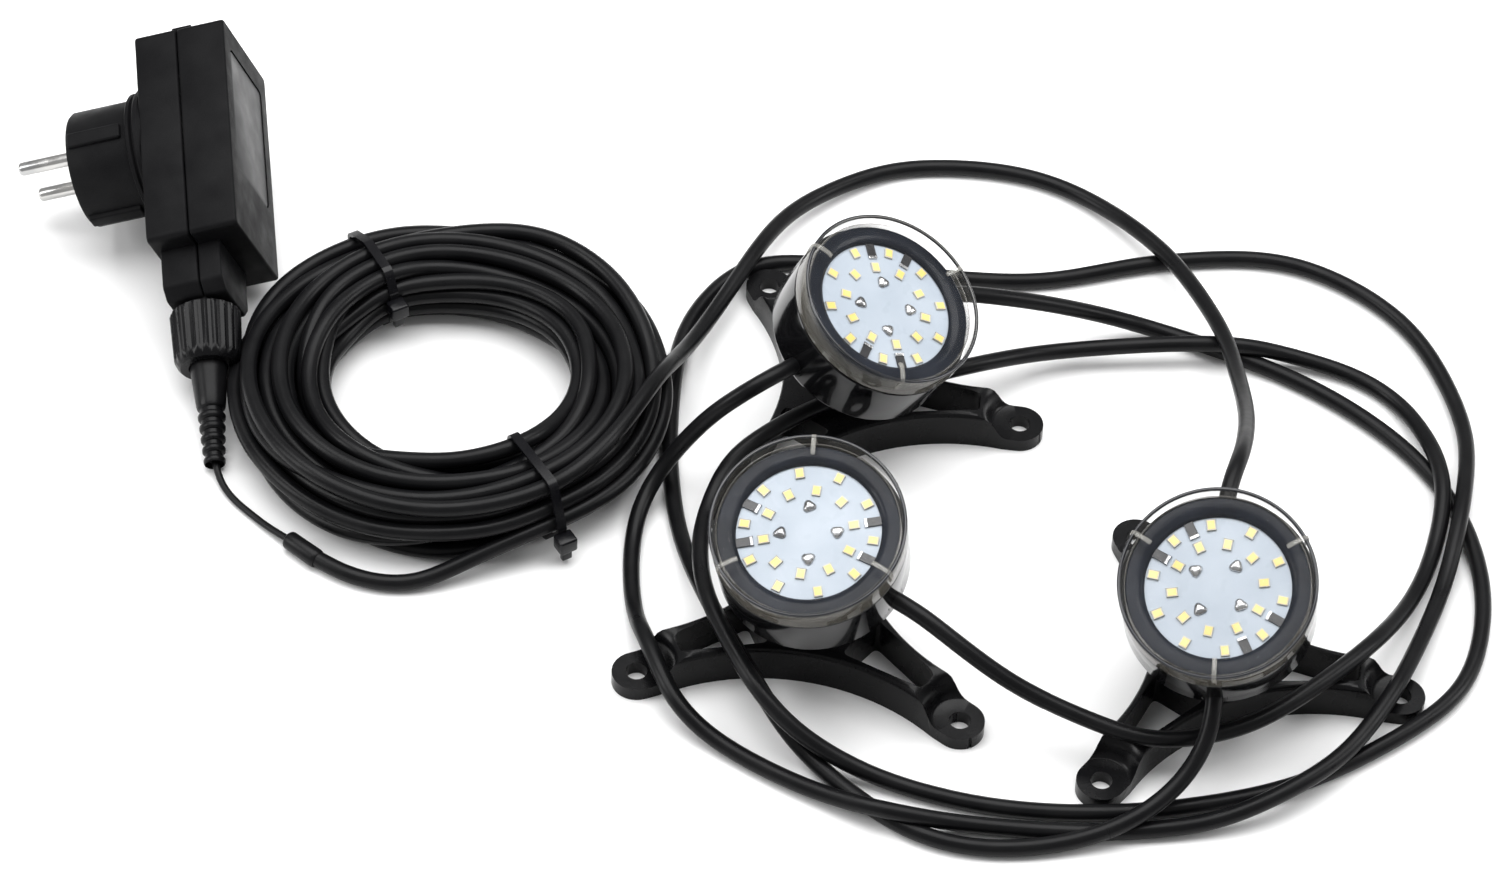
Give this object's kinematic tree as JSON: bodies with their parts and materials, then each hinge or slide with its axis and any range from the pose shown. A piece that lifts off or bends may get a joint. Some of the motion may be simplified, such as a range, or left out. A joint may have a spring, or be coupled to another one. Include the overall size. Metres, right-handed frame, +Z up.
{
  "type": "underwater pond light set",
  "caption": "Low-voltage LED pond spotlights on three-legged brackets with tilting heads, linked by cable to a coiled supply cable and a plug-in power supply.",
  "frame": {"origin": "on the ground under the middle of the three lamps", "axes": "+Z up, +X to the right and +Y away as the set is seen in the picture; the power supply lies to -X"},
  "size_m": [0.4989, 0.3116, 0.0794],
  "materials": {
    "bracket_plastic": "moulded black plastic, satin",
    "housing_plastic": "glossy black plastic",
    "cover_plastic": "clear moulded cover",
    "seal_rubber": "black, smooth",
    "ring_plastic": "glossy black",
    "board_white": "white coated circuit board",
    "potting_resin": "cast resin",
    "steel": "bright plated",
    "supply_plastic": "moulded black plastic, fine grain",
    "copper_winding": "enamelled copper wire",
    "cable_rubber": "dark grey rubber sheath",
    "tie_nylon": "black nylon"
  },
  "bodies": {
    "base": {"lamp_1_bracket": "bracket_plastic", "lamp_1_ball_stud": "bracket_plastic", "lamp_1_stud_nut": "steel", "lamp_2_bracket": "bracket_plastic", "lamp_2_ball_stud": "bracket_plastic", "lamp_2_stud_nut": "steel", "lamp_3_bracket": "bracket_plastic", "lamp_3_ball_stud": "bracket_plastic", "lamp_3_stud_nut": "steel", "supply_rear_shell": "supply_plastic", "supply_front_shell": "supply_plastic", "supply_label_plate": "supply_plastic", "supply_pin_1": "steel", "supply_pin_2": "steel", "supply_transformer_core": "steel", "supply_transformer_winding": "copper_winding", "supply_outlet_socket": "supply_plastic", "lead_plug": "cable_rubber", "thin_lead": "cable_rubber", "splice_sleeve": "cable_rubber", "supply_cable_start": "cable_rubber", "supply_cable_coil": "cable_rubber", "cable_tie_1": "tie_nylon", "cable_tie_2": "tie_nylon", "supply_cable_run": "cable_rubber", "link_cable_1": "cable_rubber", "link_cable_2": "cable_rubber"},
    "head_1": {"lamp_1_clamp_ring": "bracket_plastic", "lamp_1_housing": "housing_plastic", "lamp_1_gland_in": "housing_plastic", "lamp_1_gland_out": "housing_plastic", "lamp_1_potting": "potting_resin", "lamp_1_light_board": "board_white", "lamp_1_inner_ring": "ring_plastic", "lamp_1_seal": "seal_rubber", "lamp_1_front_cap": "cover_plastic"},
    "head_2": {"lamp_2_clamp_ring": "bracket_plastic", "lamp_2_housing": "housing_plastic", "lamp_2_gland_in": "housing_plastic", "lamp_2_gland_out": "housing_plastic", "lamp_2_potting": "potting_resin", "lamp_2_light_board": "board_white", "lamp_2_inner_ring": "ring_plastic", "lamp_2_seal": "seal_rubber", "lamp_2_front_cap": "cover_plastic"},
    "head_3": {"lamp_3_clamp_ring": "bracket_plastic", "lamp_3_housing": "housing_plastic", "lamp_3_gland_in": "housing_plastic", "lamp_3_gland_out": "housing_plastic", "lamp_3_potting": "potting_resin", "lamp_3_light_board": "board_white", "lamp_3_inner_ring": "ring_plastic", "lamp_3_seal": "seal_rubber", "lamp_3_front_cap": "cover_plastic"},
    "nut": {"coupling_nut": "supply_plastic"}
  },
  "joints": [
    {"name": "head_1_tilt", "type": "hinge", "parent": "base", "child": "head_1", "pos_m": [-0.05941, 0.05171, 0.0306], "axis": [0.4368, 0.8996, 0], "range_deg": [-26.1, 13.9], "deforming": ["link_cable_1", "link_cable_2"]},
    {"name": "head_2_tilt", "type": "hinge", "parent": "base", "child": "head_2", "pos_m": [-0.06641, -0.04718, 0.0306], "axis": [0.9483, -0.3173, 0], "range_deg": [-19.1, 20.9], "deforming": ["link_cable_2"]},
    {"name": "head_3_tilt", "type": "hinge", "parent": "base", "child": "head_3", "pos_m": [0.06259, -0.05849, 0.0306], "axis": [0.9573, -0.289, 0], "range_deg": [-25.7, 14.3], "deforming": ["link_cable_1", "supply_cable_run"]},
    {"name": "coupling_nut_turn", "type": "hinge", "parent": "base", "child": "nut", "pos_m": [-0.27289, 0.05716, 0.01646], "axis": [0.142, -0.9503, -0.2771], "continuous": true}
  ]
}
